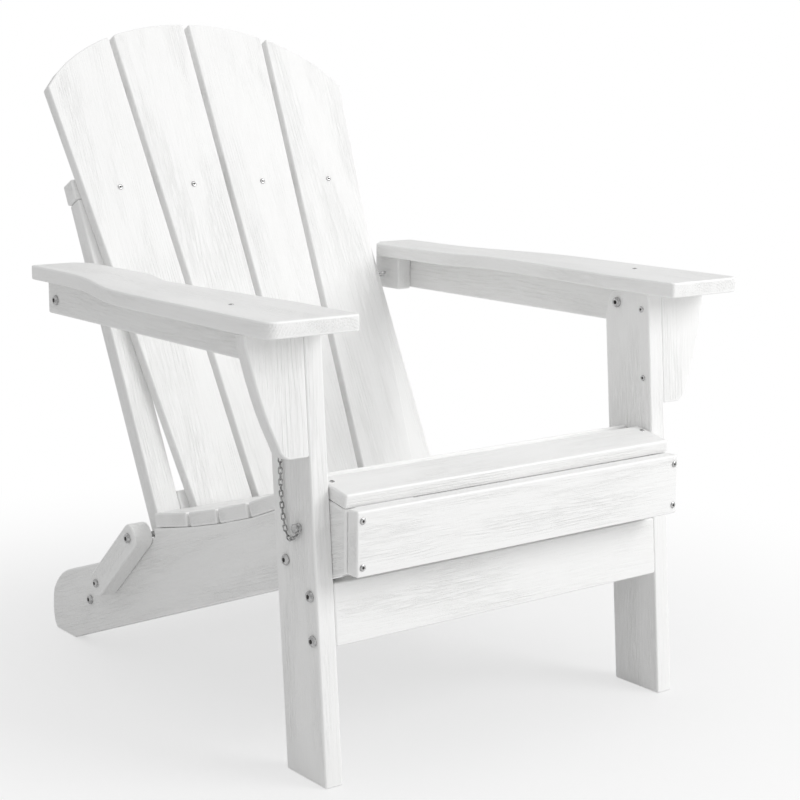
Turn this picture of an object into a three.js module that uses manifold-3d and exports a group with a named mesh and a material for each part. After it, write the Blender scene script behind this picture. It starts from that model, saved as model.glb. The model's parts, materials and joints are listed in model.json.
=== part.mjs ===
// Folding adirondack chair made of plastic lumber boards. Millimetres, +Z up, the chair faces -Y.
// The origin is on the floor, under the middle of the chair's outline.
// Every pivot runs along X. The chair has five kinds of moving group: the front legs turn on the seat
// frame, the arms on the legs, the back on the arms, the links on the seat rails, and the locking pins
// slide out of the legs. Left and right are as seen from in front of the chair.
import * as THREE from 'three';
import { mergeVertices } from 'three/addons/utils/BufferGeometryUtils.js';
import Module from 'manifold-3d';

const wasm = await Module();
wasm.setup();

// Side view: [y, z] from the front edge of the front feet, on the floor.
const MIDDLE_Y = 385.8;
const LEG_PIVOT = [81.8, 262.6];
const ARM_PIVOT = [101.9, 526.6];
const BACK_PIVOT = [621.8, 516.1];
const LINK_TOP_PIVOT = [461.8, 205.5];
const LINK_FOOT_PIVOT = [556.9, 119.1];

// Tilted planes that boards are drawn in: an origin [y, z], and how far the upright axis leans back.
const LEG_PLANE = { origin: [0, 0], lean: 4.7 };
const SEAT_PLANE = { origin: [683.4, 0], lean: 20.73 };
const BACK_PLANE = { origin: [577.8, 500], lean: 26.68 };
const LINK_PLANE = { origin: LINK_FOOT_PIVOT, lean: leanOf(LINK_FOOT_PIVOT, LINK_TOP_PIVOT) };
const UPRIGHT_PLANE = { origin: [0, 0], lean: 0 };

// Distances from the middle of the chair to the faces of the side boards.
const UPRIGHT_X = [206.7, 244.7];
const RAIL_X = [245, 264.7];
const LEG_X = [265, 290];
const LINK_X = [265, 293];
const BLOCK_X = [265.4, 290];
const ARM_RAIL_X = [290.3, 310];
const SLAT_HALF_LENGTH = 263.9;

const GAP = 0.3;
const CORNER_STEPS = 4;

// Legs, in the leg plane: [distance behind the front face, distance up the leg].
const LEG_DEPTH = 82;
const LEG_TOP_Z = 544.2;
const ARM_SWING_RADIUS = 17.2;
const ARM_SWING_END = 15;
const APRON = { depth: 24.5, bottom: 168, top: 244 };
const APRON_BOLTS = { upper: [13.1, 231.2], lower: [11.5, 177.6] };
const PIN_SEAT = [28.9, 311];
const CHAIN_SCREW = [51, 448];
const BRACKET = { depth: 22, bottom: 397, top: 545.8, reach: 370 };

// Seat rails, in the seat plane: [distance forward of the heel, height above the lower edge].
const RAIL_FRONT_Y = -2.5;
const REAR_FOOT = 57.5;
const STEP = { back: 270, front: 302, height: 108 };
const SEAT_SLATS = [
  { thickness: 18, rear: [701.5, 106.4], front: [758.4, 72.4] },
  { thickness: 19.5, rear: [630, 97.2], front: [698, 104.6] },
  { thickness: 19.5, rear: [554, 95.3], front: [623, 96.1] },
  { thickness: 19.5, rear: [477, 99.6], front: [547, 95.6] },
  { thickness: 19.5, rear: [401, 106.8], front: [470, 100.2] },
  { thickness: 19.5, rear: [308.5, 119.8], front: [393, 107.8] },
];
const FASCIA = { halfLength: 262.4, thickness: 20, bottom: 259, top: 338 };
const STRETCHER = { bolt: [76.2, 48.5], depth: 25, height: 64 };

// Arms: heights of the board faces, and distances from the middle of the chair.
const ARMREST = { bottom: 544.5, thickness: 20, front: -13, rear: 646, outer: 378, rearOuter: 335, inner: 250.5 };
const ARM_RAIL = { bottom: 496, front: 80, noseRadius: 14 };
const BLOCK = { front: 587, bottom: 494 };

// Back, in the back plane: heights up the back, and distances behind the slats' front faces.
const BACK_SLAT = { thickness: 19, bottom: -300 };
const BACK_CROWN = { halfWidth: 285, rise: 181, base: 267 };
const BACK_FRAME = { front: 19.3, depth: 28, bottom: -331, top: 178.2 };
const BACK_BEAMS = [
  { name: 'back_beam_top', bottom: 333, top: 356, halfLength: 235, depth: 20 },
  { name: 'back_beam_middle', bottom: 178.5, top: 209, halfLength: 248, depth: 28 },
  { name: 'back_beam_lower', bottom: -296, top: -262, halfLength: 206.4, depth: 28 },
];
const BACK_SCREW_HEIGHT = 186;

const LINK_WIDTH = 36;

const BOLT_SHANK = 4;
const SCREW_SHANK = 2.2;
const BUTTON_HEAD = { shank: BOLT_SHANK, head: 7, rise: 4 };
const SMALL_BUTTON_HEAD = { shank: BOLT_SHANK, head: 6, rise: 3.5 };
const SCREW_HEAD = { shank: SCREW_SHANK, head: 4.2, rise: 1.5 };
const NUT = 8;
const PIN = { shank: BOLT_SHANK, head: 5.5, rise: 9 };
const SHANK_SIDES = 10;
const BORE_SIDES = 12;

const SIDES = [['left', -1], ['right', 1]];
const AXIS_X = new THREE.Vector3(1, 0, 0);
const AXIS_Y = new THREE.Vector3(0, 1, 0);
const AXIS_Z = new THREE.Vector3(0, 0, 1);

const whiteBoard = () => new THREE.MeshStandardMaterial({ color: 0xf1f1ee, roughness: 0.6, metalness: 0 });
const stainless = () => new THREE.MeshStandardMaterial({ color: 0xb9bcbf, roughness: 0.3, metalness: 1 });

const chair = new THREE.Group();
chair.position.y = -MIDDLE_Y;

// ---- planes and points ----

function leanOf([y0, z0], [y1, z1]) {
  return THREE.MathUtils.radToDeg(Math.atan2(y1 - y0, z1 - z0));
}

// A point of the side view, in a plane's own [rearward, up] axes.
function inPlane(plane, [y, z]) {
  const lean = THREE.MathUtils.degToRad(plane.lean);
  const dy = y - plane.origin[0];
  const dz = z - plane.origin[1];
  return [dy * Math.cos(lean) - dz * Math.sin(lean), dy * Math.sin(lean) + dz * Math.cos(lean)];
}

function planeGroup(plane) {
  const group = new THREE.Group();
  group.position.set(0, plane.origin[0], plane.origin[1]);
  group.rotation.x = -THREE.MathUtils.degToRad(plane.lean);
  chair.add(group);
  return group;
}

function addMesh(group, name, geometry, material) {
  const mesh = new THREE.Mesh(geometry, material);
  mesh.name = name;
  group.add(mesh);
}

// ---- outlines ----

// A closed outline. A point is [u, v], or [u, v, radius] where the corner is rounded.
function roundedOutline(points) {
  const at = (i) => new THREE.Vector2(...points[(i + points.length) % points.length]);
  const outline = [];
  points.forEach(([, , radius = 0], i) => {
    const corner = at(i);
    if (radius === 0) {
      outline.push(corner);
      return;
    }
    const toPrevious = at(i - 1).sub(corner).normalize();
    const toNext = at(i + 1).sub(corner).normalize();
    const half = toPrevious.angleTo(toNext) / 2;
    const bisector = toPrevious.clone().add(toNext).normalize();
    const centre = corner.clone().addScaledVector(bisector, radius / Math.sin(half));
    const start = corner.clone().addScaledVector(toPrevious, radius / Math.tan(half)).sub(centre);
    const end = corner.clone().addScaledVector(toNext, radius / Math.tan(half)).sub(centre);
    const turn = Math.atan2(start.cross(end), start.dot(end));
    for (let k = 0; k <= CORNER_STEPS; k += 1) {
      const spoke = start.clone().rotateAround(new THREE.Vector2(), (turn * k) / CORNER_STEPS);
      outline.push(spoke.add(centre));
    }
  });
  return outline;
}

function curvePoints(curve, steps) {
  return curve.getPoints(steps).map((point) => point.toArray());
}

function arcPoints([u, v], radius, fromDegrees, toDegrees, steps) {
  const from = THREE.MathUtils.degToRad(fromDegrees);
  const to = THREE.MathUtils.degToRad(toDegrees);
  const arc = new THREE.EllipseCurve(u, v, radius, radius, from, to, to < from);
  return curvePoints(arc, steps);
}

// ---- boards ----

// A board of the outline's shape, from 0 to the thickness along its own z.
function boardSolid(points, thickness) {
  const shape = new THREE.Shape(roundedOutline(points));
  return new THREE.ExtrudeGeometry(shape, { depth: thickness, bevelEnabled: false });
}

// Outline in [rearward, up], thickness along X between two distances from the chair's middle.
function sideBoard(points, [inner, outer], side) {
  const geometry = boardSolid(points, outer - inner);
  geometry.applyMatrix4(new THREE.Matrix4().makeBasis(AXIS_Y, AXIS_Z, AXIS_X));
  return geometry.translate(side > 0 ? inner : -outer, 0, 0);
}

function crossBoard(points, halfLength) {
  return sideBoard(points, [-halfLength, halfLength], 1);
}

// Outline in [x, up], thickness rearward from the front distance.
function frontBoard(points, front, thickness) {
  const geometry = boardSolid(points, thickness);
  geometry.applyMatrix4(new THREE.Matrix4().makeBasis(AXIS_X, AXIS_Z, AXIS_Y.clone().negate()));
  return geometry.translate(0, front + thickness, 0);
}

function rectangle(left, right, bottom, top) {
  return [[left, bottom], [right, bottom], [right, top], [left, top]];
}

// ---- cutting ----

function toSolid(geometry) {
  const bare = geometry.clone();
  bare.deleteAttribute('normal');
  bare.deleteAttribute('uv');
  const merged = mergeVertices(bare, 1e-3);
  return new wasm.Manifold(new wasm.Mesh({
    numProp: 3,
    vertProperties: Float32Array.from(merged.attributes.position.array),
    triVerts: Uint32Array.from(merged.index.array),
  }));
}

function toGeometry(solid) {
  const { vertProperties, triVerts } = solid.getMesh();
  const geometry = new THREE.BufferGeometry();
  geometry.setAttribute('position', new THREE.BufferAttribute(vertProperties, 3));
  geometry.setIndex(new THREE.BufferAttribute(triVerts, 1));
  geometry.computeVertexNormals();
  return geometry;
}

// A round cutter along X, from one distance to another, at a point of the board's plane.
function boreAlongX([u, v], radius, [inner, outer], side = 1) {
  const bore = new THREE.CylinderGeometry(radius, radius, outer - inner, BORE_SIDES).toNonIndexed();
  return bore.rotateZ(Math.PI / 2).translate((side * (inner + outer)) / 2, u, v);
}

function boreAlongY([x, v], radius, front, rear) {
  const bore = new THREE.CylinderGeometry(radius, radius, rear - front, BORE_SIDES).toNonIndexed();
  return bore.translate(x, (front + rear) / 2, v);
}

function cut(geometry, cutters) {
  let solid = toSolid(geometry);
  for (const cutter of cutters) {
    solid = solid.subtract(toSolid(cutter));
  }
  return toGeometry(solid);
}

// ---- fasteners ----

// A button-head fastener along its own y: the head rises from 0, the shank goes down to -length, and
// a flat nut may close its far end.
function fastener({ shank, head, rise, length, nut = 0 }) {
  const profile = [];
  if (nut > 0) {
    profile.push([0, -length - rise], [nut, -length - rise], [nut, -length]);
    profile.push([shank, -length]);
  } else {
    profile.push([0, -length], [shank, -length]);
  }
  profile.push([shank, 0], [head, 0], [head, rise * 0.4], [head * 0.6, rise], [0, rise]);
  return new THREE.LatheGeometry(profile.map(([r, y]) => new THREE.Vector2(r, y)), SHANK_SIDES);
}

// The head's seat is at a distance from the chair's middle, and the head faces outwards.
function fastenerAlongX(shape, [u, v], seatX, side) {
  return fastener(shape).rotateZ((-side * Math.PI) / 2).translate(side * seatX, u, v);
}

function fastenerFacingFront(shape, [x, v], front) {
  return fastener(shape).rotateX(Math.PI).translate(x, front, v);
}

const bore = (shank) => shank + 0.6;

// ---- seat frame ----

const seat = ([forward, height]) => [-forward, height];

// The rail's upper edge is a chain of flats, one under each slat.
function railOutline() {
  const lean = THREE.MathUtils.degToRad(SEAT_PLANE.lean);
  const length = (SEAT_PLANE.origin[0] - RAIL_FRONT_Y) / Math.cos(lean);
  const frontAt = (height) => [-length - height * Math.tan(lean), height];
  const footEnd = inPlane(SEAT_PLANE, [SEAT_PLANE.origin[0] + REAR_FOOT, 0]);
  const rearTop = new THREE.SplineCurve([
    [-57, 31], [-55, 47], [-49, 62], [-38, 80], [-14, 94], [14, 100], [65, 98.5], [130, 96.5], [190, 94],
    [235, 100], [STEP.back, STEP.height],
  ].map(([forward, height]) => new THREE.Vector2(-forward, height)));
  const seatFlats = SEAT_SLATS.toReversed().flatMap(({ rear, front }) => [rear, front]);
  return [
    [0, 0],
    footEnd,
    ...curvePoints(rearTop, 20),
    seat([STEP.front, STEP.height]),
    seat([STEP.front + 1, seatFlats[0][1] - GAP]),
    ...seatFlats.slice(1, -1).map(([forward, height]) => seat([forward, height - GAP])),
    frontAt(70.6),
    frontAt(0),
  ];
}

function railGeometry(side) {
  const link = inPlane(SEAT_PLANE, LINK_FOOT_PIVOT);
  const leg = inPlane(SEAT_PLANE, LEG_PIVOT);
  const reach = [RAIL_X[0] - 1, RAIL_X[1] + 1];
  return cut(sideBoard(railOutline(), RAIL_X, side), [
    boreAlongX(link, bore(BOLT_SHANK), reach, side),
    boreAlongX(leg, bore(BOLT_SHANK), reach, side),
    boreAlongX(seat(STRETCHER.bolt), bore(BOLT_SHANK), reach, side),
  ]);
}

function seatSlatGeometry({ thickness, rear, front }, isNose) {
  const bottomRear = new THREE.Vector2(...seat(rear));
  const bottomFront = new THREE.Vector2(...seat(front));
  const along = bottomFront.clone().sub(bottomRear).normalize();
  const up = new THREE.Vector2(along.y, -along.x).multiplyScalar(thickness);
  const topRear = bottomRear.clone().add(up);
  const topFront = bottomFront.clone().add(up);
  if (isNose) {
    topRear.addScaledVector(along, thickness * 0.45);
  }
  const outline = [bottomRear, bottomFront, topFront, topRear].map((point) => point.toArray());
  return crossBoard(outline, SLAT_HALF_LENGTH);
}

function buildSeat() {
  const group = planeGroup(SEAT_PLANE);
  for (const [name, side] of SIDES) {
    addMesh(group, `seat_rail_${name}`, railGeometry(side), whiteBoard());
    const linkBolt = { ...SMALL_BUTTON_HEAD, length: LINK_X[1] - RAIL_X[0] };
    const linkPivot = inPlane(SEAT_PLANE, LINK_FOOT_PIVOT);
    addMesh(group, `link_bolt_${name}`, fastenerAlongX(linkBolt, linkPivot, LINK_X[1] + GAP, side), stainless());
    const legBolt = { ...BUTTON_HEAD, length: LEG_X[1] - RAIL_X[0] + 2 * GAP, nut: NUT };
    const legPivot = inPlane(SEAT_PLANE, LEG_PIVOT);
    addMesh(group, `leg_bolt_${name}`, fastenerAlongX(legBolt, legPivot, LEG_X[1] + GAP, side), stainless());
    const stretcherBolt = { ...BUTTON_HEAD, length: 60 };
    const stretcherSeat = fastenerAlongX(stretcherBolt, seat(STRETCHER.bolt), RAIL_X[1] + GAP, side);
    addMesh(group, `stretcher_bolt_${name}`, stretcherSeat, stainless());
  }
  SEAT_SLATS.forEach((slat, i) => {
    addMesh(group, `seat_slat_${i + 1}`, seatSlatGeometry(slat, i === 0), whiteBoard());
  });
  addMesh(group, 'rear_stretcher', stretcherGeometry(), whiteBoard());
}

function stretcherGeometry() {
  const [u, v] = seat(STRETCHER.bolt);
  const halfDepth = STRETCHER.depth / 2;
  const halfHeight = STRETCHER.height / 2;
  const halfLength = RAIL_X[0] - GAP;
  const board = crossBoard(rectangle(u - halfDepth, u + halfDepth, v - halfHeight, v + halfHeight), halfLength);
  const reach = [halfLength - 42, halfLength + 1];
  return cut(board, SIDES.map(([, side]) => boreAlongX([u, v], bore(BOLT_SHANK), reach, side)));
}

function buildFascia() {
  const group = planeGroup(UPRIGHT_PLANE);
  const front = RAIL_FRONT_Y - GAP - FASCIA.thickness;
  const rear = front + FASCIA.thickness;
  const screwX = (RAIL_X[0] + RAIL_X[1]) / 2;
  const inset = (FASCIA.top - FASCIA.bottom) * 0.15;
  const screws = SIDES.flatMap(([, side]) => [
    [side * screwX, FASCIA.bottom + inset],
    [side * screwX, FASCIA.top - inset],
  ]);
  const outline = rectangle(FASCIA.bottom, FASCIA.top, front, rear);
  const board = crossBoard(outline.map(([z, y]) => [y, z]), FASCIA.halfLength);
  const bores = screws.map((place) => boreAlongY(place, bore(SCREW_SHANK), front - 1, rear + 1));
  addMesh(group, 'seat_fascia', cut(board, bores), whiteBoard());
  const screw = { ...SCREW_HEAD, length: FASCIA.thickness - 1 };
  screws.forEach((place, i) => {
    addMesh(group, `fascia_screw_${i + 1}`, fastenerFacingFront(screw, place, front - 0.1), stainless());
  });
}

// ---- front legs ----

// The rear top corner is cut back so that the armrest can swing down behind the leg.
function legOutline() {
  const rise = Math.tan(THREE.MathUtils.degToRad(LEG_PLANE.lean));
  const [armU, armV] = inPlane(LEG_PLANE, ARM_PIVOT);
  const top = LEG_TOP_Z / Math.cos(THREE.MathUtils.degToRad(LEG_PLANE.lean));
  const toRear = LEG_DEPTH - armU;
  const swing = ARM_SWING_END + LEG_PLANE.lean;
  const swingAngle = THREE.MathUtils.degToRad(swing);
  const drop = (ARM_SWING_RADIUS - toRear * Math.cos(swingAngle)) / Math.sin(swingAngle);
  const arcStart = 90 + LEG_PLANE.lean - 3;
  const arc = arcPoints([armU, armV], ARM_SWING_RADIUS, arcStart, swing, 5);
  return [
    [0, 0],
    [LEG_DEPTH, LEG_DEPTH * rise],
    [LEG_DEPTH, armV + drop],
    ...arc.toReversed(),
    [0, top],
  ];
}

function legGeometry(side) {
  const reach = [LEG_X[0] - 1, LEG_X[1] + 1];
  return cut(sideBoard(legOutline(), LEG_X, side), [
    boreAlongX(inPlane(LEG_PLANE, LEG_PIVOT), bore(BOLT_SHANK), reach, side),
    boreAlongX(inPlane(LEG_PLANE, ARM_PIVOT), bore(BOLT_SHANK), reach, side),
    boreAlongX(APRON_BOLTS.upper, bore(BOLT_SHANK), reach, side),
    boreAlongX(APRON_BOLTS.lower, bore(BOLT_SHANK), reach, side),
    boreAlongX(PIN_SEAT, bore(BOLT_SHANK), reach, side),
  ]);
}

function apronGeometry() {
  const halfLength = LEG_X[0] - GAP;
  const board = crossBoard(rectangle(0, APRON.depth, APRON.bottom, APRON.top), halfLength);
  const bores = SIDES.flatMap(([, side]) => Object.values(APRON_BOLTS).map(
    (place) => boreAlongX(place, bore(BOLT_SHANK), [halfLength - 36, halfLength + 1], side),
  ));
  return cut(board, bores);
}

// A gusset under the armrest: straight on the leg, hollow on the outside, with a round lower corner.
function bracketGeometry(side) {
  const { bottom, top, reach, depth } = BRACKET;
  const inner = LEG_X[1] + GAP;
  const taper = new THREE.CubicBezierCurve(
    new THREE.Vector2(reach, top - 12),
    new THREE.Vector2(reach - 10, top - 55),
    new THREE.Vector2(reach - 18, top - 90),
    new THREE.Vector2(reach - 36, bottom + 20),
  );
  const outline = [
    [inner, bottom],
    [reach - 52, bottom],
    [reach - 45, bottom + 3.5],
    [reach - 40, bottom + 9.5],
    ...curvePoints(taper, 6).toReversed(),
    [reach, top],
    [inner, top],
  ];
  return frontBoard(outline.map(([x, v, radius]) => [side * x, v, radius]), 0, depth);
}

// The chain hangs from a screw in the leg, and its lower end rises to the pin.
function chainGeometry(side) {
  const [screwU, screwV] = CHAIN_SCREW;
  const [pinU, pinV] = PIN_SEAT;
  const x = LEG_X[1] + 4.5;
  const route = [
    [x, screwU, screwV],
    [x, screwU + 5, screwV - 62],
    [x, screwU + 6, screwV - 108],
    [x, screwU + 2, screwV - 138],
    [x, screwU - 6, screwV - 151],
    [x, screwU - 15, screwV - 148],
    [x + 1, pinU + 1, pinV - 7.5],
  ];
  const curve = new THREE.CatmullRomCurve3(route.map(([along, u, v]) => new THREE.Vector3(side * along, u, v)));
  const section = new THREE.Shape(new THREE.EllipseCurve(0, 0, 2, 2).getPoints(8).slice(0, 8));
  return new THREE.ExtrudeGeometry(section, { steps: 24, extrudePath: curve, bevelEnabled: false });
}

function pinGeometry(side) {
  return fastenerAlongX({ ...PIN, length: LEG_X[1] - LEG_X[0] }, PIN_SEAT, LEG_X[1] + GAP, side);
}

function buildLegs() {
  const group = planeGroup(LEG_PLANE);
  addMesh(group, 'leg_apron', apronGeometry(), whiteBoard());
  for (const [name, side] of SIDES) {
    addMesh(group, `leg_${name}`, legGeometry(side), whiteBoard());
    addMesh(group, `arm_bracket_${name}`, bracketGeometry(side), whiteBoard());
    for (const [level, place] of Object.entries(APRON_BOLTS)) {
      const apronBolt = { ...BUTTON_HEAD, length: 60 };
      const geometry = fastenerAlongX(apronBolt, place, LEG_X[1] + GAP, side);
      addMesh(group, `apron_bolt_${level}_${name}`, geometry, stainless());
    }
    const armBolt = { ...BUTTON_HEAD, length: ARM_RAIL_X[1] - LEG_X[0] + 2 * GAP, nut: NUT };
    const armPivot = inPlane(LEG_PLANE, ARM_PIVOT);
    addMesh(group, `arm_bolt_${name}`, fastenerAlongX(armBolt, armPivot, ARM_RAIL_X[1] + GAP, side), stainless());
    addMesh(group, `pin_chain_${name}`, chainGeometry(side), stainless());
    addMesh(group, `lock_pin_${name}`, pinGeometry(side), stainless());
  }
}

// ---- arms ----

function armrestGeometry(side) {
  const { bottom, thickness, front, rear, outer, rearOuter, inner } = ARMREST;
  const outerCurve = new THREE.CubicBezierCurve(
    new THREE.Vector2(outer, 300),
    new THREE.Vector2(outer, 400),
    new THREE.Vector2(rearOuter, 450),
    new THREE.Vector2(rearOuter, 545),
  );
  const innerFront = new THREE.CubicBezierCurve(
    new THREE.Vector2(inner, 110),
    new THREE.Vector2(inner + 9, 200),
    new THREE.Vector2(inner + 17, 290),
    new THREE.Vector2(inner + 21, 368),
  );
  const innerRear = new THREE.CubicBezierCurve(
    new THREE.Vector2(inner + 21, 376),
    new THREE.Vector2(inner + 21, 405),
    new THREE.Vector2(inner, 435),
    new THREE.Vector2(inner, 472),
  );
  const outline = [
    [outer, front, 15],
    ...curvePoints(outerCurve, 8),
    [rearOuter, rear],
    [inner + 21, rear],
    [inner, rear - 21],
    ...curvePoints(innerRear, 6).toReversed(),
    ...curvePoints(innerFront, 4).toReversed(),
    [inner, front, 6],
  ];
  return boardSolid(outline.map(([x, y, radius]) => [side * x, y, radius]), thickness).translate(0, 0, bottom);
}

function armRailGeometry(side) {
  const { bottom, front, noseRadius } = ARM_RAIL;
  const top = ARMREST.bottom - GAP;
  const outline = [[front, bottom, noseRadius], [ARMREST.rear, bottom], [ARMREST.rear, top], [front, top]];
  const reach = [ARM_RAIL_X[0] - 1, ARM_RAIL_X[1] + 1];
  return cut(sideBoard(outline, ARM_RAIL_X, side), [
    boreAlongX(ARM_PIVOT, bore(BOLT_SHANK), reach, side),
    boreAlongX(BACK_PIVOT, bore(BOLT_SHANK), reach, side),
  ]);
}

function blockGeometry(side) {
  const outline = rectangle(BLOCK.front, ARMREST.rear, BLOCK.bottom, ARMREST.bottom - GAP);
  const reach = [BLOCK_X[0] - 1, BLOCK_X[1] + 1];
  return cut(sideBoard(outline, BLOCK_X, side), [boreAlongX(BACK_PIVOT, bore(BOLT_SHANK), reach, side)]);
}

function buildArms() {
  const group = planeGroup(UPRIGHT_PLANE);
  for (const [name, side] of SIDES) {
    addMesh(group, `armrest_${name}`, armrestGeometry(side), whiteBoard());
    addMesh(group, `arm_rail_${name}`, armRailGeometry(side), whiteBoard());
    addMesh(group, `arm_block_${name}`, blockGeometry(side), whiteBoard());
    const backBolt = { ...BUTTON_HEAD, length: ARM_RAIL_X[1] - UPRIGHT_X[0] - 8 };
    const geometry = fastenerAlongX(backBolt, BACK_PIVOT, ARM_RAIL_X[1] + GAP, side);
    addMesh(group, `back_bolt_${name}`, geometry, stainless());
  }
}

// ---- back ----

// Distances of a slat's two long edges from the middle, at a height: the slats fan out upwards.
const BACK_SLAT_EDGES = {
  outer: [(height) => 115.9 + 0.0536 * height, (height) => 222.2 + 0.1018 * height],
  inner: [() => 4.6, (height) => 106.6 + 0.0554 * height],
};

function crownHeight(x) {
  return BACK_CROWN.base + BACK_CROWN.rise * Math.sqrt(1 - (x / BACK_CROWN.halfWidth) ** 2);
}

// The height at which a slat's edge meets the crown.
function crownCorner(edge) {
  let height = BACK_CROWN.base + BACK_CROWN.rise;
  for (let i = 0; i < 20; i += 1) {
    height = crownHeight(edge(height));
  }
  return [edge(height), height];
}

function backSlatOutline([nearEdge, farEdge], side) {
  const [nearX, nearTop] = crownCorner(nearEdge);
  const [farX, farTop] = crownCorner(farEdge);
  const crown = [];
  const steps = 6;
  for (let i = 1; i < steps; i += 1) {
    const x = nearX + ((farX - nearX) * i) / steps;
    crown.push([x, crownHeight(x)]);
  }
  const outline = [
    [nearEdge(BACK_SLAT.bottom), BACK_SLAT.bottom],
    [nearX, nearTop],
    ...crown,
    [farX, farTop, 5],
    [farEdge(BACK_SLAT.bottom), BACK_SLAT.bottom],
  ];
  return outline.map(([x, height, radius]) => [side * x, height, radius]);
}

function uprightGeometry(side) {
  const { front, depth, bottom, top } = BACK_FRAME;
  const outline = [[front, bottom, 13], [front + depth, bottom, 13], [front + depth, top], [front, top]];
  const reach = [UPRIGHT_X[0] + 5, UPRIGHT_X[1] + 1];
  const backBore = boreAlongX(inPlane(BACK_PLANE, BACK_PIVOT), bore(BOLT_SHANK), reach, side);
  return cut(sideBoard(outline, UPRIGHT_X, side), [backBore]);
}

function buildBack() {
  const group = planeGroup(BACK_PLANE);
  for (const [name, side] of SIDES) {
    addMesh(group, `back_upright_${name}`, uprightGeometry(side), whiteBoard());
  }
  for (const { name, bottom, top, halfLength, depth } of BACK_BEAMS) {
    const outline = rectangle(BACK_FRAME.front, BACK_FRAME.front + depth, bottom, top);
    addMesh(group, name, crossBoard(outline, halfLength), whiteBoard());
  }
  const order = [['outer', -1], ['inner', -1], ['inner', 1], ['outer', 1]];
  order.forEach(([kind, side], i) => {
    const [nearEdge, farEdge] = BACK_SLAT_EDGES[kind];
    const middle = (side * (nearEdge(BACK_SCREW_HEIGHT) + farEdge(BACK_SCREW_HEIGHT))) / 2;
    const place = [middle, BACK_SCREW_HEIGHT];
    const board = frontBoard(backSlatOutline([nearEdge, farEdge], side), 0, BACK_SLAT.thickness);
    const slat = cut(board, [boreAlongY(place, bore(SCREW_SHANK), -1, BACK_SLAT.thickness + 1)]);
    addMesh(group, `back_slat_${i + 1}`, slat, whiteBoard());
    const screw = { ...SCREW_HEAD, length: BACK_SLAT.thickness - 1 };
    addMesh(group, `back_screw_${i + 1}`, fastenerFacingFront(screw, place, -0.1), stainless());
  });
}

// ---- links ----

function linkGeometry(side) {
  const length = inPlane(LINK_PLANE, LINK_TOP_PIVOT)[1];
  const half = LINK_WIDTH / 2;
  const round = half - 3;
  const outline = [
    [-half, -half, round], [half, -half, round], [half, length + half, round], [-half, length + half, round],
  ];
  const reach = [LINK_X[0] - 1, LINK_X[1] + 1];
  return cut(sideBoard(outline, LINK_X, side), [
    boreAlongX([0, 0], bore(BOLT_SHANK), reach, side),
    boreAlongX([0, length], bore(BOLT_SHANK), reach, side),
  ]);
}

function buildLinks() {
  const group = planeGroup(LINK_PLANE);
  for (const [name, side] of SIDES) {
    addMesh(group, `link_${name}`, linkGeometry(side), whiteBoard());
    const pivotBolt = { ...BUTTON_HEAD, length: LINK_X[1] - UPRIGHT_X[1] - 2 * GAP };
    const top = inPlane(LINK_PLANE, LINK_TOP_PIVOT);
    const geometry = fastenerAlongX(pivotBolt, top, LINK_X[1] + GAP, side);
    addMesh(group, `upright_bolt_${name}`, geometry, stainless());
  }
}

buildSeat();
buildFascia();
buildLegs();
buildArms();
buildBack();
buildLinks();

export default chair;
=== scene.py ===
"""Folding adirondack chair of white plastic lumber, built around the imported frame.

Metres, +Z up, and the front of the chair faces -Y.
"""
import json
import math
import random

import bmesh
import bpy
from mathutils import Matrix, Vector


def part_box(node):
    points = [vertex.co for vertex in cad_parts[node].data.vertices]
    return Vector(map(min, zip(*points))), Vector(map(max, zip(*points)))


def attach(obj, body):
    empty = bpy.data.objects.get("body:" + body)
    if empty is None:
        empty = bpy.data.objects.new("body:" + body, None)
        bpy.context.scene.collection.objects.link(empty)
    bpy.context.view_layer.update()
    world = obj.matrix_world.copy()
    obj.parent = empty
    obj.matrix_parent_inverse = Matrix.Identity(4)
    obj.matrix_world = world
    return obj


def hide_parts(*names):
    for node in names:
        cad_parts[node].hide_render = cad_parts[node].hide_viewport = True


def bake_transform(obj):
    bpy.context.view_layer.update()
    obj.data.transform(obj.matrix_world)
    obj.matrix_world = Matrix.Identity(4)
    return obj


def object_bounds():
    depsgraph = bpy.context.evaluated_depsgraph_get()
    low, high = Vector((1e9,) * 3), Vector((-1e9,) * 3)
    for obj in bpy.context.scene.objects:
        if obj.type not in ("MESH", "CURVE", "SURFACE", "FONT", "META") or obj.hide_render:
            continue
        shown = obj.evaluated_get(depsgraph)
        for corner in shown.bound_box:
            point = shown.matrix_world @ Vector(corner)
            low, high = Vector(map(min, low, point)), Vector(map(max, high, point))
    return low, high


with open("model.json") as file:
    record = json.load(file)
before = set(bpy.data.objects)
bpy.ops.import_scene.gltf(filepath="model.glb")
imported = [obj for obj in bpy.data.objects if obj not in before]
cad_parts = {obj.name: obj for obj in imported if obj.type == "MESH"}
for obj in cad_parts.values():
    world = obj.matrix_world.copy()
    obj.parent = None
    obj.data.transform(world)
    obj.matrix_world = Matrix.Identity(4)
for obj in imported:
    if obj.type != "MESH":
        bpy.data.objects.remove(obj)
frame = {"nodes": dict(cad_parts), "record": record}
cad_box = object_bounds()

# Tilted planes of the chair's side view: how far each plane's upright axis leans back, in degrees.
LEG_LEAN = 4.7
SEAT_LEAN = 20.73
BACK_LEAN = 26.68
LINK_LEAN = -47.7

SIDES = {"left": -1, "right": 1}
AXIS_X = Vector((1, 0, 0))
AXIS_Y = Vector((0, 1, 0))
AXIS_Z = Vector((0, 0, 1))

CAMERA_PLACE = (-1.42204, -1.97958, 0.8361)
CAMERA_YAW = math.radians(36.779)
CAMERA_PITCH = math.radians(-10.892)
CAMERA_ROLL = math.radians(0.271)

FLOOR_HALF = 14
FLOOR_CLEARANCE = 0.0005
LIGHT_AIM = Vector((0, 0, 0.4))
WORLD_LIGHT = 0.61
WORLD_SEEN = 1.0

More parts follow.
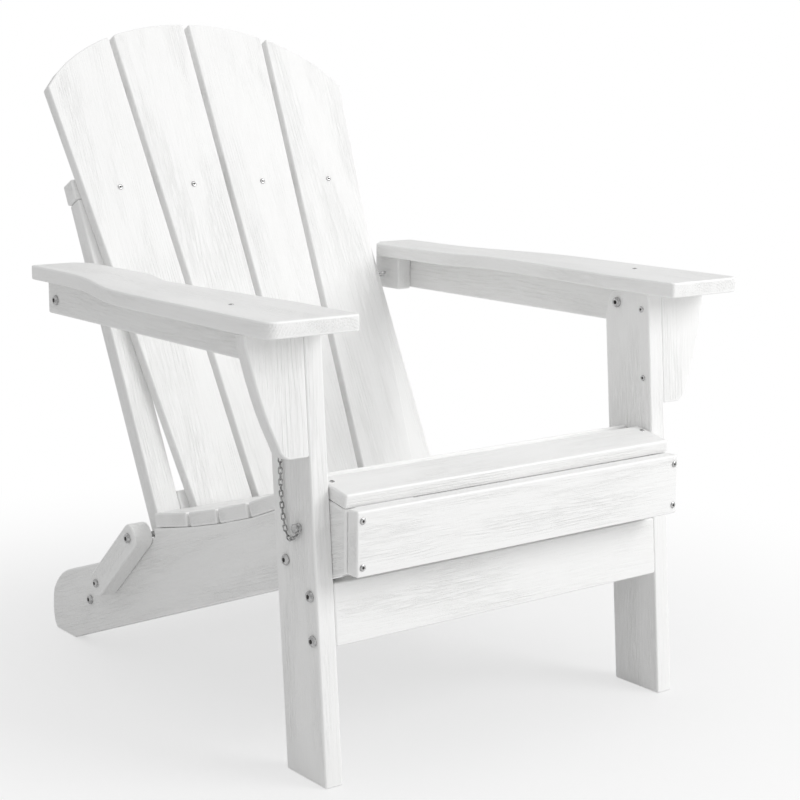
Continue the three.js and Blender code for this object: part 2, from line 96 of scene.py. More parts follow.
# Board edges that turn by more than SHARP_ANGLE are rounded. Faces within FLAT_ANGLE of each other are one.
EDGE_RADIUS = 0.0026
EDGE_SEGMENTS = 4
SHARP_ANGLE = math.radians(38)
FLAT_ANGLE = 0.005
WELD_DISTANCE = 1e-5

# Points nearer to a fastener's axis than BORE_REACH are its bore's, a little past both of its ends as well.
BORE_REACH = 0.0052
BORE_PAST_TOP = 0.004
BORE_PAST_BOTTOM = 0.012

# Radius, sides and length of the cut for a locking pin.
PIN_BORE = 0.0046
PIN_BORE_SIDES = 32
PIN_BORE_LENGTH = 0.08

# Each board's grain is drawn from this seed, in the order of the boards' names.
GRAIN_SEED = 11

# Fastener heads: head radius, head height, shank radius and socket size across its flats.
BUTTON = {"head": 0.0070, "rise": 0.0040, "shank": 0.0040, "socket": 0.0050}
SMALL_BUTTON = {"head": 0.0060, "rise": 0.0035, "shank": 0.0040, "socket": 0.0044}
SCREW = {"head": 0.0042, "rise": 0.0015, "shank": 0.0022, "socket": 0.0030}
SMALL_SCREW = {"head": 0.0034, "rise": 0.0010, "shank": 0.0018, "socket": 0.0024}
ROUND_SIDES = 48
SOCKET_RINGS = 3

CHAIN_PITCH = 0.0068
CHAIN_WIRE = 0.0008
CHAIN_HALF_WIDTH = 0.0021
CHAIN_LINK_POINTS = 16
CHAIN_CLEARANCE = 0.0045
CHAIN_SCREW_OUT = 0.0055
WIRE_SIDES = 8

# The chain's way down the leg, from its screw, as distances behind the leg's front edge and up the leg.
CHAIN_ROUTE = (
    (0.051, 0.448), (0.056, 0.386), (0.057, 0.340), (0.053, 0.310), (0.045, 0.297), (0.036, 0.2985),
)

# A locking pin's grip, as (radius, height) from where it meets the shank.
PIN_HEAD_RISE = 0.009
PIN_GRIP = (
    (0.0040, 0.0), (0.0054, 0.0002), (0.0055, 0.0008), (0.0054, 0.0016), (0.0036, 0.0020), (0.0034, 0.0030),
    (0.0034, 0.0040), (0.0050, 0.0046), (0.0055, 0.0054), (0.0055, 0.0074), (0.0050, 0.0084),
    (0.0036, 0.0090),
)
PIN_RING_RADIUS = 0.0062
PIN_RING_WIRE = 0.0006
PIN_RING_OUT = 0.0035
PIN_RING_DROP = 0.0022

# Where the small screws sit: up the leg, behind its front, out on the armrest, and along the front slat.
BRACKET_SCREW_HEIGHTS = (0.4325, 0.5245)
BRACKET_SCREW_INSET = 0.0135
ARMREST_SCREW_X = 0.330
ARMREST_SCREW_INSET = 0.148
SEAT_SCREW_SHARE = 0.72
SEAT_SCREW_LENGTH = 0.012
ARMREST_SCREW_LENGTH = 0.015
LEG_SCREW_LENGTH = 0.02


# ---- directions ----

def up_of(lean):
    angle = math.radians(lean)
    return Vector((0, math.sin(angle), math.cos(angle)))


def rearward_of(lean):
    angle = math.radians(lean)
    return Vector((0, math.cos(angle), -math.sin(angle)))


def leg_front():
    """The front edge of the front feet, on the floor."""
    return Vector((0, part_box("leg_left")[0].y, 0))


def leg_faces(side_name):
    """How far a leg's inner and outer faces are from the middle of the chair."""
    low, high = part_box(f"leg_{side_name}")
    return sorted((abs(low.x), abs(high.x)))


def body_of_node(node):
    return next(body for body, nodes in frame["record"]["behaviour"]["bodies"].items() if node in nodes)


def side_of(node):
    return SIDES["left"] if node.endswith("left") else SIDES["right"]


# ---- camera, light and floor ----

def make_camera():
    data = bpy.data.cameras.new("camera")
    data.sensor_width = 36
    data.lens = 79.3
    data.shift_x = 0.0395
    data.shift_y = 0.0087
    camera = bpy.data.objects.new("camera", data)
    level = math.cos(CAMERA_PITCH)
    forward = Vector((math.sin(CAMERA_YAW) * level, math.cos(CAMERA_YAW) * level, math.sin(CAMERA_PITCH)))
    right = Vector((math.cos(CAMERA_YAW), -math.sin(CAMERA_YAW), 0))
    up = right.cross(forward)
    rolled_right = math.cos(CAMERA_ROLL) * right + math.sin(CAMERA_ROLL) * up
    rolled_up = math.cos(CAMERA_ROLL) * up - math.sin(CAMERA_ROLL) * right
    x, y, z = CAMERA_PLACE
    camera.matrix_world = Matrix((
        (rolled_right.x, rolled_up.x, -forward.x, x),
        (rolled_right.y, rolled_up.y, -forward.y, y),
        (rolled_right.z, rolled_up.z, -forward.z, z),
        (0, 0, 0, 1),
    ))
    bpy.context.scene.collection.objects.link(camera)
    bpy.context.scene.camera = camera


def area_light(name, place, size, energy):
    data = bpy.data.lights.new(name, "AREA")
    data.size = size
    data.energy = energy
    light = bpy.data.objects.new(name, data)
    light.location = place
    light.rotation_euler = (LIGHT_AIM - Vector(place)).to_track_quat("-Z", "Y").to_euler()
    bpy.context.scene.collection.objects.link(light)


def make_world():
    """The camera sees a white surround, and a dimmer one lights the chair."""
    world = bpy.data.worlds.new("studio")
    bpy.context.scene.world = world
    world.use_nodes = True
    tree = world.node_tree
    background = tree.nodes["Background"]
    path = tree.nodes.new("ShaderNodeLightPath")
    level = tree.nodes.new("ShaderNodeMix")
    level.inputs[2].default_value = WORLD_LIGHT
    level.inputs[3].default_value = WORLD_SEEN
    tree.links.new(path.outputs["Is Camera Ray"], level.inputs[0])
    tree.links.new(level.outputs[0], background.inputs["Strength"])
    background.inputs["Color"].default_value = (1, 1, 1, 1)
    bpy.context.scene.view_settings.view_transform = "Standard"


def make_floor():
    """A pale floor that fades into the white surround away from the chair. For the camera it also glows
    partly beside the chair: painted brightness that lightens the shadows there.
    """
    mesh = bpy.data.meshes.new("floor")
    corners = [(x * FLOOR_HALF, y * FLOOR_HALF, 0) for x, y in ((-1, -1), (1, -1), (1, 1), (-1, 1))]
    mesh.from_pydata(corners, [], [(0, 1, 2, 3)])
    floor = bpy.data.objects.new("floor", mesh)
    floor.location.z = cad_box[0].z - FLOOR_CLEARANCE
    bpy.context.scene.collection.objects.link(floor)
    material = bpy.data.materials.new("floor")
    material.use_nodes = True
    nodes, links = material.node_tree.nodes, material.node_tree.links
    shader = nodes["Principled BSDF"]
    shader.inputs["Base Color"].default_value = (0.82, 0.82, 0.82, 1)
    shader.inputs["Roughness"].default_value = 0.7
    # Painted light: for camera rays the floor glows, from 0.58 beside the chair up to fully far off, which
    # lightens the shadows cast on it.
    painted_glow = nodes.new("ShaderNodeEmission")
    place = nodes.new("ShaderNodeTexCoord")
    distance = nodes.new("ShaderNodeVectorMath")
    distance.operation = "LENGTH"
    glow_share = nodes.new("ShaderNodeMapRange")
    glow_share.interpolation_type = "SMOOTHSTEP"
    glow_share.inputs["From Min"].default_value = 0.3
    glow_share.inputs["From Max"].default_value = 1.2
    glow_share.inputs["To Min"].default_value = 0.58
    path = nodes.new("ShaderNodeLightPath")
    seen = nodes.new("ShaderNodeMath")
    seen.operation = "MULTIPLY"
    mix = nodes.new("ShaderNodeMixShader")
    links.new(place.outputs["Object"], distance.inputs[0])
    links.new(distance.outputs["Value"], glow_share.inputs["Value"])
    links.new(glow_share.outputs["Result"], seen.inputs[0])
    links.new(path.outputs["Is Camera Ray"], seen.inputs[1])
    links.new(seen.outputs["Value"], mix.inputs["Fac"])
    links.new(shader.outputs["BSDF"], mix.inputs[1])
    links.new(painted_glow.outputs["Emission"], mix.inputs[2])
    links.new(mix.outputs["Shader"], nodes["Material Output"].inputs["Surface"])
    mesh.materials.append(material)


# ---- materials ----

class Tree:
    """A short way to add nodes to a material and join them."""

    def __init__(self, name):
        self.material = bpy.data.materials.new(name)
        self.material.use_nodes = True
        self.nodes = self.material.node_tree.nodes
        self.shader = self.nodes["Principled BSDF"]

    def join(self, source, socket):
        self.material.node_tree.links.new(source, socket)

    def add(self, kind, inputs=(), **settings):
        node = self.nodes.new(kind)
        for key, value in settings.items():
            setattr(node, key, value)
        for key, value in dict(inputs).items():
            if isinstance(value, bpy.types.NodeSocket):
                self.join(value, node.inputs[key])
            else:
                node.inputs[key].default_value = value
        return node

    def math(self, operation, a, b=0.0, c=0.0):
        return self.add("ShaderNodeMath", {0: a, 1: b, 2: c}, operation=operation).outputs[0]

    def scaled(self, vector, scale):
        return self.add("ShaderNodeVectorMath", {0: vector, 1: scale}, operation="MULTIPLY").outputs[0]

    def noise(self, vector, scale, detail=3.0, roughness=0.5):
        inputs = {"Vector": vector, "Scale": scale, "Detail": detail, "Roughness": roughness}
        return self.add("ShaderNodeTexNoise", inputs).outputs["Fac"]

    def spread(self, value, low, high, to_low=0.0, to_high=1.0):
        inputs = {"Value": value, "From Min": low, "From Max": high, "To Min": to_low, "To Max": to_high}
        return self.add("ShaderNodeMapRange", inputs, interpolation_type="SMOOTHSTEP").outputs["Result"]


def lumber_material():
    """White plastic lumber. Its embossed grain runs along each board and is weaker on rounded edges."""
    tree = Tree("white_lumber")
    grain = tree.add("ShaderNodeAttribute", attribute_name="grain").outputs["Vector"]
    edge = tree.add("ShaderNodeAttribute", attribute_name="edge").outputs["Fac"]
    sway = tree.noise(tree.scaled(grain, (3.0, 14.0, 14.0)), 1.0, 2.0)
    lifted = tree.add("ShaderNodeVectorMath", {0: (0.0, 0.03, 0.02), "Scale": sway}, operation="SCALE")
    rings_place = tree.add("ShaderNodeVectorMath", {
        0: tree.scaled(grain, (0.05, 1.0, 1.0)),
        1: lifted.outputs[0],
    }, operation="ADD").outputs[0]
    rings = tree.add("ShaderNodeTexWave", {
        "Vector": rings_place, "Scale": 84.0, "Distortion": 2.0, "Detail": 2.0, "Detail Scale": 1.6,
    }, wave_type="RINGS", rings_direction="X").outputs["Fac"]
    ring_lines = tree.spread(rings, 0.52, 0.95)
    fibres = tree.noise(tree.scaled(grain, (28.0, 520.0, 520.0)), 1.0, 4.0, 0.62)
    fibre_lines = tree.spread(fibres, 0.42, 0.66)
    patches = tree.spread(tree.noise(tree.scaled(grain, (4.0, 26.0, 26.0)), 1.0, 2.0), 0.35, 0.68)
    streaks = tree.math("MULTIPLY", fibre_lines, tree.spread(patches, 0.0, 1.0, 0.35, 1.0))
    lines = tree.math("MULTIPLY", ring_lines, tree.spread(patches, 0.0, 1.0, 0.25, 0.9))
    groove = tree.math("MULTIPLY_ADD", lines, 0.42, tree.math("MULTIPLY", streaks, 0.58))
    groove = tree.math("MULTIPLY", groove, tree.math("SUBTRACT", 1.0, tree.math("MULTIPLY", edge, 0.85)))
    clouds = tree.noise(tree.scaled(grain, (5.0, 9.0, 9.0)), 1.0, 3.0)
    shade = tree.math("MULTIPLY_ADD", clouds, 0.12, tree.math("MULTIPLY", groove, 0.24))
    white = tree.add("ShaderNodeMix", {0: shade}, data_type="RGBA")
    white.inputs[6].default_value = (0.93, 0.93, 0.925, 1)
    white.inputs[7].default_value = (0.74, 0.74, 0.725, 1)
    # The rounded edges are coloured lighter, up to half way towards 0.965.
    edge_lightening = tree.math("MULTIPLY", edge, 0.5)
    edge_lightened = tree.add("ShaderNodeMix", {0: edge_lightening, 6: white.outputs[2]}, data_type="RGBA")
    edge_lightened.inputs[7].default_value = (0.965, 0.965, 0.96, 1)
    tree.join(edge_lightened.outputs[2], tree.shader.inputs["Base Color"])
    dull = tree.math("MULTIPLY_ADD", groove, 0.18, tree.math("MULTIPLY_ADD", clouds, 0.12, 0.42))
    tree.join(tree.math("SUBTRACT", dull, tree.math("MULTIPLY", edge, 0.10)), tree.shader.inputs["Roughness"])
    pores = tree.noise(tree.scaled(grain, (500.0, 1500.0, 1500.0)), 1.0, 2.0)
    height = tree.math("SUBTRACT", tree.math("MULTIPLY", pores, 0.12), groove)
    bump = tree.add("ShaderNodeBump", {"Strength": 0.7, "Distance": 0.0009, "Height": height})
    tree.join(bump.outputs["Normal"], tree.shader.inputs["Normal"])
    tree.shader.inputs["IOR"].default_value = 1.5
    tree.shader.inputs["Specular IOR Level"].default_value = 0.4
    return tree.material


def steel_material(name, dull, bright):
    """Steel with turning marks, small scratches and duller patches."""
    tree = Tree(name)
    place = tree.add("ShaderNodeTexCoord").outputs["Object"]
    scratches = tree.noise(tree.scaled(place, (900.0, 4000.0, 900.0)), 1.0, 3.0)
    patches = tree.noise(place, 260.0, 3.0)
    tone = tree.add("ShaderNodeMix", {0: tree.spread(patches, 0.3, 0.7)}, data_type="RGBA")
    tone.inputs[6].default_value = (dull, dull, dull, 1)
    tone.inputs[7].default_value = (bright, bright, bright, 1)
    tree.join(tone.outputs[2], tree.shader.inputs["Base Color"])
    tree.join(tree.spread(scratches, 0.25, 0.75, 0.14, 0.30), tree.shader.inputs["Roughness"])
    bump = tree.add("ShaderNodeBump", {"Strength": 0.25, "Distance": 0.0001, "Height": scratches})
    tree.join(bump.outputs["Normal"], tree.shader.inputs["Normal"])
    tree.shader.inputs["Metallic"].default_value = 1.0
    return tree.material


def socket_shade_material():
    """Painted shade for the inside of a drive socket: dark, mottled steel."""
    tree = Tree("socket_painted_shade")
    place = tree.add("ShaderNodeTexCoord").outputs["Object"]
    shade_mottle = tree.noise(place, 900.0, 3.0)
    # Painted shade: the socket's walls and floor are coloured near black, with a little mottling.
    tone = tree.add("ShaderNodeMix", {0: shade_mottle}, data_type="RGBA")
    tone.inputs[6].default_value = (0.05, 0.05, 0.05, 1)
    tone.inputs[7].default_value = (0.16, 0.155, 0.15, 1)
    tree.join(tone.outputs[2], tree.shader.inputs["Base Color"])
    tree.join(tree.spread(shade_mottle, 0.3, 0.7, 0.35, 0.6), tree.shader.inputs["Roughness"])
    tree.shader.inputs["Metallic"].default_value = 1.0
    return tree.material


# ---- boards ----

def length_of_grain(node):
    """The direction that a board's grain runs in, and the direction out of its wide face."""
    if node.startswith(("leg_left", "leg_right")):
        return up_of(LEG_LEAN), AXIS_X
    if node.startswith("arm_bracket"):
        return up_of(LEG_LEAN), rearward_of(LEG_LEAN)
    if node.startswith("seat_rail"):
        return rearward_of(SEAT_LEAN), AXIS_X
    if node.startswith("link"):
        return up_of(LINK_LEAN), AXIS_X
    if node.startswith(("back_upright", "back_slat")):
        return up_of(BACK_LEAN), rearward_of(BACK_LEAN)
    if node.startswith("armrest"):
        return AXIS_Y, AXIS_Z
    if node.startswith(("arm_rail", "arm_block")):
        return AXIS_Y, AXIS_X
    if node.startswith("back_beam"):
        return AXIS_X, rearward_of(BACK_LEAN)
    if node.startswith(("seat_fascia", "leg_apron")):
        return AXIS_X, AXIS_Y
    return AXIS_X, AXIS_Z


def fastener_axis(node):
    """The line down the middle of a fastener, as its outward direction and its two ends."""
    if node.startswith("back_screw"):
        outward = -rearward_of(BACK_LEAN)
    elif node.startswith("fascia_screw"):
        outward = -AXIS_Y
    else:
        outward = AXIS_X * side_of(node)
    points = [vertex.co.copy() for vertex in frame["nodes"][node].data.vertices]
    along = [point.dot(outward) for point in points]
    across = [point - outward * point.dot(outward) for point in points]
    middle = Vector([(min(p[i] for p in across) + max(p[i] for p in across)) / 2 for i in range(3)])
    middle -= outward * middle.dot(outward)
    return outward, middle + outward * max(along), middle + outward * min(along)


def is_fastener(node):
    return "bolt" in node or "screw" in node


def near_axis(point, axis):
    """Whether a point is close enough to a fastener to lie on its bore."""
    outward, top, bottom = axis
    along = (point - top).dot(outward)
    reach = (point - top - outward * along).length
    return reach < BORE_REACH and along < BORE_PAST_TOP and (point - bottom).dot(outward) > -BORE_PAST_BOTTOM


def flat_groups(bm):
    """Faces that lie in one plane and touch each other, group by group."""
    waiting = set(bm.faces)
    for first in bm.faces:
        if first not in waiting:
            continue
        waiting.remove(first)
        group, stack = {first}, [first]
        while stack:
            face = stack.pop()
            for edge in face.edges:
                for other in edge.link_faces:
                    if other in waiting and face.normal.angle(other.normal, 0) < FLAT_ANGLE:
                        waiting.remove(other)
                        group.add(other)
                        stack.append(other)
        yield group


def perimeter(verts):
    """The length of a closed outline."""
    return sum((a.co - b.co).length for a, b in zip(verts, verts[1:] + verts[:1]))


def outer_outline(group):
    """The longest closed outline round a group of faces. Shorter ones are bores."""
    following = {}
    for face in group:
        for corner in face.loops:
            if all(other is face or other not in group for other in corner.edge.link_faces):
                following[corner.vert] = corner.link_loop_next.vert
    outlines = []
    while following:
        start, vert = following.popitem()
        outline = [start]
        while vert is not start:
            outline.append(vert)
            vert = following.pop(vert)
        outlines.append(outline)
    return max(outlines, key=perimeter)


def whole_board(node, axes):
    """The board with one flat face per side and no bores.

    Fasteners fill the bores, apart from the locking pins' in the legs, which drill cuts again.
    """
    source = bmesh.new()
    source.from_mesh(frame["nodes"][node].data)
    bmesh.ops.remove_doubles(source, verts=source.verts, dist=WELD_DISTANCE)
    source.normal_update()
    bm = bmesh.new()
    corners = {}
    for group in flat_groups(source):
        outline = outer_outline(group)
        if any(all(near_axis(vert.co, axis) for vert in outline) for axis in axes):
            continue
        for vert in outline:
            if vert not in corners:
                corners[vert] = bm.verts.new(vert.co)
        bm.faces.new([corners[vert] for vert in outline])
    source.free()
    bm.normal_update()
    bmesh.ops.dissolve_limit(bm, angle_limit=math.radians(0.2), verts=bm.verts, edges=bm.edges)
    return bm


def round_edges(bm):
    bm.normal_update()
    sharp = [edge for edge in bm.edges if edge.is_manifold and edge.calc_face_angle() > SHARP_ANGLE]
    flag = bm.faces.layers.float.new("edge")
    rounded = bmesh.ops.bevel(
        bm, geom=sharp, offset=EDGE_RADIUS, offset_type="OFFSET", segments=EDGE_SEGMENTS, profile=0.5,
        affect="EDGES", clamp_overlap=False,
    )
    for face in rounded["faces"]:
        face[flag] = 1.0


def drill(board, axis):
    """Cuts a pin's round bore through a board."""
    outward, top, bottom = axis
    cutter_mesh = bpy.data.meshes.new("cutter")
    bm = bmesh.new()
    turn = outward.to_track_quat("Z", "Y").to_matrix().to_4x4()
    place = Matrix.Translation((top + bottom) / 2) @ turn
    bmesh.ops.create_cone(
        bm, cap_ends=True, segments=PIN_BORE_SIDES, radius1=PIN_BORE, radius2=PIN_BORE,
        depth=PIN_BORE_LENGTH, matrix=place,
    )
    bm.to_mesh(cutter_mesh)
    bm.free()
    cutter = bpy.data.objects.new("cutter", cutter_mesh)
    bpy.context.scene.collection.objects.link(cutter)
    cut = board.modifiers.new("bore", "BOOLEAN")
    cut.operation = "DIFFERENCE"
    cut.solver = "EXACT"
    cut.object = cutter
    bpy.context.view_layer.update()
    whole = board.data
    board.data = bpy.data.meshes.new_from_object(board.evaluated_get(bpy.context.evaluated_depsgraph_get()))
    board.modifiers.remove(cut)
    bpy.data.meshes.remove(whole)
    bpy.data.objects.remove(cutter)
    bpy.data.meshes.remove(cutter_mesh)


def mark_grain(mesh, node, rng):
    """Stores each point's place along, across and out of the board, from its own heart of the tree."""
    along, out = length_of_grain(node)
    across = out.cross(along)
    heart = Vector((rng.uniform(-3, 3), rng.uniform(-0.02, 0.02), rng.uniform(0.02, 0.05)))
    middle = sum((vertex.co for vertex in mesh.vertices), Vector()) / len(mesh.vertices)
    layer = mesh.attributes.new("grain", "FLOAT_VECTOR", "POINT")
    for vertex in mesh.vertices:
        place = vertex.co - middle
        in_board = Vector((place.dot(along), place.dot(across), place.dot(out)))
        layer.data[vertex.index].vector = in_board + heart


def make_board(node, material, fastener_axes, pin_axes, rng):
    bm = whole_board(node, fastener_axes + pin_axes)
    round_edges(bm)
    mesh = bpy.data.meshes.new(node + "_board")
    bm.to_mesh(mesh)
    bm.free()
    board = bpy.data.objects.new(node + "_board", mesh)
    bpy.context.scene.collection.objects.link(board)
    for axis in pin_axes:
        if node == ("leg_left" if axis[0].x < 0 else "leg_right"):
            drill(board, axis)
    mesh = board.data
    mark_grain(mesh, node, rng)
    mesh.polygons.foreach_set("use_smooth", [True] * len(mesh.polygons))
    mesh.materials.append(material)
    normals = board.modifiers.new("even_shading", "WEIGHTED_NORMAL")
    normals.weight = 100
    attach(board, body_of_node(node))
    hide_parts(node)


# ---- round pieces ----

def add_ring(bm, place, outward, side, other, points, height):
    return [bm.verts.new(place + side * x + other * y + outward * height) for x, y in points]


def circle(radius):
    return [
        (radius * math.cos(math.tau * i / ROUND_SIDES), radius * math.sin(math.tau * i / ROUND_SIDES))
        for i in range(ROUND_SIDES)
    ]


def hexagon(across_flats):
    """As many points as a circle has, but on a hexagon."""
    points = []
    for i in range(ROUND_SIDES):
        angle = math.tau * i / ROUND_SIDES
        folded = (angle + math.pi / 6) % (math.pi / 3) - math.pi / 6
        radius = across_flats / 2 / math.cos(folded)
        points.append((radius * math.cos(angle), radius * math.sin(angle)))
    return points


def skin_rings(bm, rings, shaded_from=None):
    """Joins rings with quads and closes both ends. Faces from one ring on take the second material, which on
    a fastener is the socket's painted shade.
    """
    for k in range(len(rings) - 1):
        for i in range(ROUND_SIDES):
            j = (i + 1) % ROUND_SIDES
            face = bm.faces.new((rings[k][i], rings[k][j], rings[k + 1][j], rings[k + 1][i]))
            face.smooth = True
            face.material_index = 1 if shaded_from is not None and k >= shaded_from else 0
    for ring in (rings[0], rings[-1]):
        face = bm.faces.new(ring)
        face.material_index = 1 if shaded_from is not None and ring is rings[-1] else 0


def head_rings(shape):
    """A domed head from its rim to its socket, as (outline, height) pairs."""
    head, rise, socket = shape["head"], shape["rise"], shape["socket"]
    rim = rise * 0.22
    rings = [(circle(head * 0.96), 0.0), (circle(head), rim * 0.4), (circle(head), rim)]
    crown = socket * 0.68
    steps = 7
    for i in range(1, steps + 1):
        angle = math.pi / 2 * i / steps
        radius = crown + (head - crown) * math.cos(angle)
        rings.append((circle(radius), rim + (rise - rim) * math.sin(angle)))
    rings.append((hexagon(socket * 1.06), rise - 0.0001))
    rings.append((hexagon(socket), rise * 0.93))
    rings.append((hexagon(socket), rise * 0.22))
    return rings


def shank_rings(shape, length):
    shank = shape["shank"]
    return [(circle(shank * 0.8), -length), (circle(shank), -length + 0.0008), (circle(shank), 0.0)]


def finish_piece(name, bm, materials, body, nodes=()):
    bmesh.ops.recalc_face_normals(bm, faces=bm.faces)
    mesh = bpy.data.meshes.new(name)
    bm.to_mesh(mesh)
    bm.free()
    for material in materials:
        mesh.materials.append(material)
    piece = bpy.data.objects.new(name, mesh)
    bpy.context.scene.collection.objects.link(piece)
    if body:
        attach(piece, body)
    if nodes:
        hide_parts(*nodes)
    return piece


def across_pair(outward):
    """Two directions at right angles to a fastener's axis and to each other."""
    side = outward.cross(AXIS_Y if abs(outward.z) > 0.7 else AXIS_Z).normalized()
    return side, outward.cross(side)


def make_fastener(name, body, shape, seat, outward, length, materials, nodes=(), nut_shape=None):
    """A bolt or screw whose head sits at seat. A through bolt has a second head on its far end."""
    bm = bmesh.new()
    side, other = across_pair(outward)
    shells = [(seat, outward, shank_rings(shape, length) + head_rings(shape))]
    if nut_shape:
        shells.append((seat - outward * length, -outward, head_rings(nut_shape)))
    for place, direction, outlines in shells:
        rings = [add_ring(bm, place, direction, side, other, points, height) for points, height in outlines]
        # Faces of the last SOCKET_RINGS rings take the socket's painted shade.
        skin_rings(bm, rings, len(rings) - SOCKET_RINGS)
    return finish_piece(name, bm, materials, body, nodes=nodes)


def head_shape(node):
    if "screw" in node:
        return SCREW
    return SMALL_BUTTON if node.startswith("link_bolt") else BUTTON


def make_fasteners(materials):
    for node in sorted(frame["nodes"]):
        if not is_fastener(node):
            continue
        outward, top, bottom = fastener_axis(node)
        shape = head_shape(node)
        nut = BUTTON if node.startswith(("leg_bolt", "arm_bolt")) else None
        seat = top - outward * shape["rise"]
        length = (seat - bottom).length - (nut["rise"] if nut else 0)
        name, body = node + "_detail", body_of_node(node)
        make_fastener(name, body, shape, seat, outward, length, materials, [node], nut)


def make_small_screws(materials):
    """The small screws on the front seat slat, inside the legs behind the brackets, and on the armrests."""
    rail_low, rail_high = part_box("seat_rail_right")
    rail_x = (rail_low.x + rail_high.x) / 2
    mesh = frame["nodes"]["seat_slat_1"].data
    top = max(mesh.polygons, key=lambda face: face.area if face.normal.z > 0.6 else 0)
    normal = top.normal.copy()
    corner = mesh.vertices[top.vertices[0]].co
    face_points = [vertex.co for vertex in mesh.vertices if abs((vertex.co - corner).dot(normal)) < 1e-4]
    rear = max(face_points, key=lambda point: point.y)
    front = min(face_points, key=lambda point: point.y)
    place = front.lerp(rear, SEAT_SCREW_SHARE)
    for side_name, side in SIDES.items():
        seat = Vector((side * rail_x, place.y, place.z))
        name = f"seat_screw_{side_name}"
        make_fastener(name, "seat_frame", SMALL_SCREW, seat, normal, SEAT_SCREW_LENGTH, materials)
    foot = leg_front()
    for side_name, side in SIDES.items():
        inner_x = side * leg_faces(side_name)[0]
        for index, height in enumerate(BRACKET_SCREW_HEIGHTS):
            place = foot + up_of(LEG_LEAN) * height + rearward_of(LEG_LEAN) * BRACKET_SCREW_INSET
            seat = Vector((inner_x, place.y, place.z))
            name = f"bracket_screw_{side_name}_{index + 1}"
            make_fastener(name, "front_legs", SCREW, seat, AXIS_X * -side, LEG_SCREW_LENGTH, materials)
        arm_low, arm_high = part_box(f"armrest_{side_name}")
        seat = Vector((side * ARMREST_SCREW_X, arm_low.y + ARMREST_SCREW_INSET, arm_high.z))
        name = f"armrest_screw_{side_name}"
        make_fastener(name, f"arm_{side_name}", SMALL_SCREW, seat, AXIS_Z, ARMREST_SCREW_LENGTH, materials)


# ---- locking pins and their chains ----

def make_pin(side_name, materials):
    """A turned pin with a grip, a waist for the chain's ring and a rounded nose."""
    node = f"lock_pin_{side_name}"
    outward, top, bottom = fastener_axis(node)
    seat = top - outward * PIN_HEAD_RISE
    length = (seat - bottom).length
    profile = ((0.0022, -length), (0.0034, -length + 0.0010), (0.0040, -length + 0.0026)) + PIN_GRIP
    bm = bmesh.new()
    side, other = across_pair(outward)
    rings = [add_ring(bm, seat, outward, side, other, circle(radius), height) for radius, height in profile]
    skin_rings(bm, rings)
    finish_piece(node + "_detail", bm, materials[:1], f"pin_{side_name}", nodes=[node])
    bm = bmesh.new()
    centre = seat + outward * PIN_RING_OUT - AXIS_Z * PIN_RING_DROP
    add_wire_loop(bm, [centre + side * x + other * y for x, y in circle(PIN_RING_RADIUS)], PIN_RING_WIRE)
    finish_piece(f"pin_ring_{side_name}", bm, materials[:1], f"pin_{side_name}")
    return centre - AXIS_Z * PIN_RING_RADIUS


def add_wire_loop(bm, points, radius):
    """A closed loop of round wire through the points."""
    count = len(points)
    centre = sum(points, Vector()) / count
    normal = (points[0] - centre).cross(points[count // 4] - centre).normalized()
    turns = [math.tau * k / WIRE_SIDES for k in range(WIRE_SIDES)]
    rings = []
    for i, point in enumerate(points):
        tangent = (points[(i + 1) % count] - points[i - 1]).normalized()
        out = tangent.cross(normal)
        spokes = [out * math.cos(turn) + normal * math.sin(turn) for turn in turns]
        rings.append([bm.verts.new(point + spoke * radius) for spoke in spokes])
    for i in range(count):
        ring, following = rings[i], rings[(i + 1) % count]
        for k in range(WIRE_SIDES):
            j = (k + 1) % WIRE_SIDES
            face = bm.faces.new((ring[k], ring[j], following[j], following[k]))
            face.smooth = True


def smooth_route(points, steps=24):
    """Catmull-Rom through the points."""
    padded = [2 * points[0] - points[1], *points, 2 * points[-1] - points[-2]]
    route = []
    for a, b, c, d in zip(padded, padded[1:], padded[2:], padded[3:]):
        for i in range(steps):
            t = i / steps
            square = (2 * a - 5 * b + 4 * c - d) * t * t
            cube = (3 * b - a - 3 * c + d) * t ** 3
            route.append(0.5 * (2 * b + (c - a) * t + square + cube))
    route.append(points[-1])
    return route


def at_distance(route, distance):
    for a, b in zip(route, route[1:]):
        step = (b - a).length
        if distance <= step:
            return a.lerp(b, distance / step), (b - a).normalized()
        distance -= step
    return route[-1], (route[-1] - route[-2]).normalized()


def link_outline(centre, tangent, pitch, lean):
    """A chain link's stadium outline. Links lean to one side and the other by turns."""
    flat = (AXIS_X + tangent.cross(AXIS_X).normalized() * lean).normalized()
    flat = (flat - tangent * flat.dot(tangent)).normalized()
    width = tangent.cross(flat)
    straight = (pitch + 2 * CHAIN_WIRE) / 2 - CHAIN_HALF_WIDTH
    outline = []
    for k in range(CHAIN_LINK_POINTS):
        angle = math.tau * (k + 0.5) / CHAIN_LINK_POINTS
        x = CHAIN_HALF_WIDTH * math.cos(angle) + math.copysign(straight, math.cos(angle))
        outline.append(centre + tangent * x + width * CHAIN_HALF_WIDTH * math.sin(angle))
    return outline


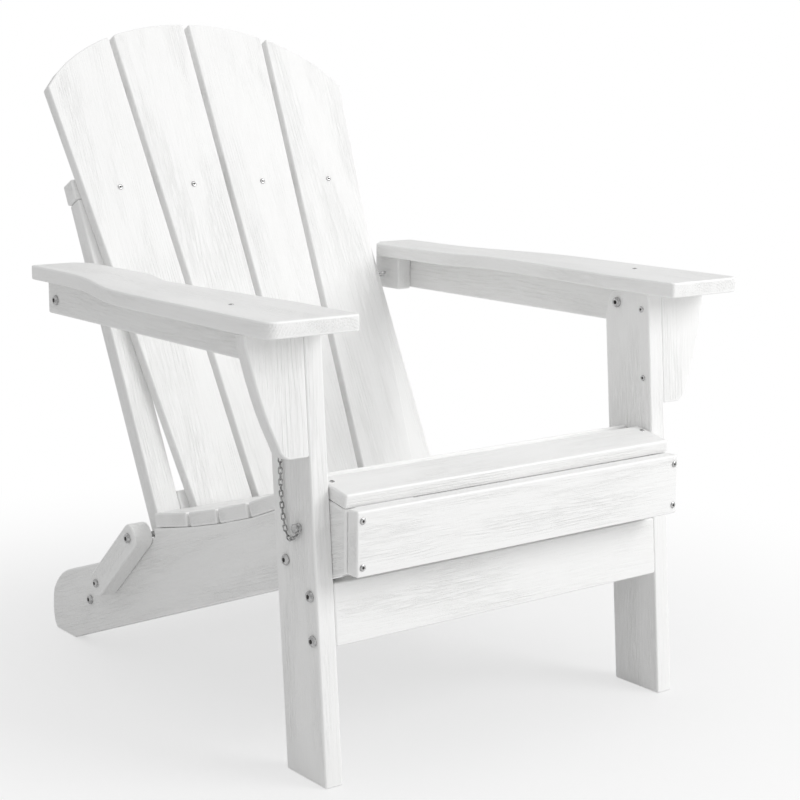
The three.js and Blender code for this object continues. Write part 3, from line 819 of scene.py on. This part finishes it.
def make_chain(side_name, pin_end, materials, link_materials):
    """Steel links from a screw in the leg down to the pin's ring."""
    outward = AXIS_X * SIDES[side_name]
    face_x = SIDES[side_name] * leg_faces(side_name)[1]
    out_x = SIDES[side_name] * (leg_faces(side_name)[1] + CHAIN_CLEARANCE)
    places = [leg_front() + rearward_of(LEG_LEAN) * u + up_of(LEG_LEAN) * v for u, v in CHAIN_ROUTE]
    points = [Vector((out_x, place.y, place.z)) for place in places] + [pin_end]
    route = smooth_route(points)
    length = sum((b - a).length for a, b in zip(route, route[1:]))
    count = round(length / CHAIN_PITCH)
    pitch = length / count
    bm = bmesh.new()
    for i in range(count):
        centre, tangent = at_distance(route, (i + 0.5) * pitch)
        add_wire_loop(bm, link_outline(centre, tangent, pitch, 1 if i % 2 else -1), CHAIN_WIRE)
    node = f"pin_chain_{side_name}"
    chain = finish_piece(node + "_links", bm, link_materials, None, nodes=[node])
    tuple(points[0])
    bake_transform(chain)
    seat = Vector((face_x, points[0].y, points[0].z)) + outward * CHAIN_SCREW_OUT
    make_fastener(f"chain_screw_{side_name}", "front_legs", SCREW, seat, outward, LEG_SCREW_LENGTH, materials)


# ---- the chair ----

make_camera()
make_world()
make_floor()
area_light("key", (2.6, -3.6, 2.7), 2.6, 112)
area_light("top", (-0.2, -0.4, 3.6), 2.4, 10)

lumber = lumber_material()
hardware = [steel_material("stainless_steel", 0.42, 0.70), socket_shade_material()]
chain_steel = [steel_material("chain_steel", 0.20, 0.62)]
rng = random.Random(GRAIN_SEED)
fasteners = [fastener_axis(node) for node in sorted(frame["nodes"]) if is_fastener(node)]
pins = [fastener_axis(node) for node in sorted(frame["nodes"]) if node.startswith("lock_pin")]
for cad_node in sorted(frame["nodes"]):
    if not is_fastener(cad_node) and not cad_node.startswith(("lock_pin", "pin_chain")):
        make_board(cad_node, lumber, fasteners, pins, rng)
make_fasteners(hardware)
make_small_screws(hardware)
for side_label in SIDES:
    chain_end = make_pin(side_label, hardware)
    make_chain(side_label, chain_end, hardware, chain_steel)
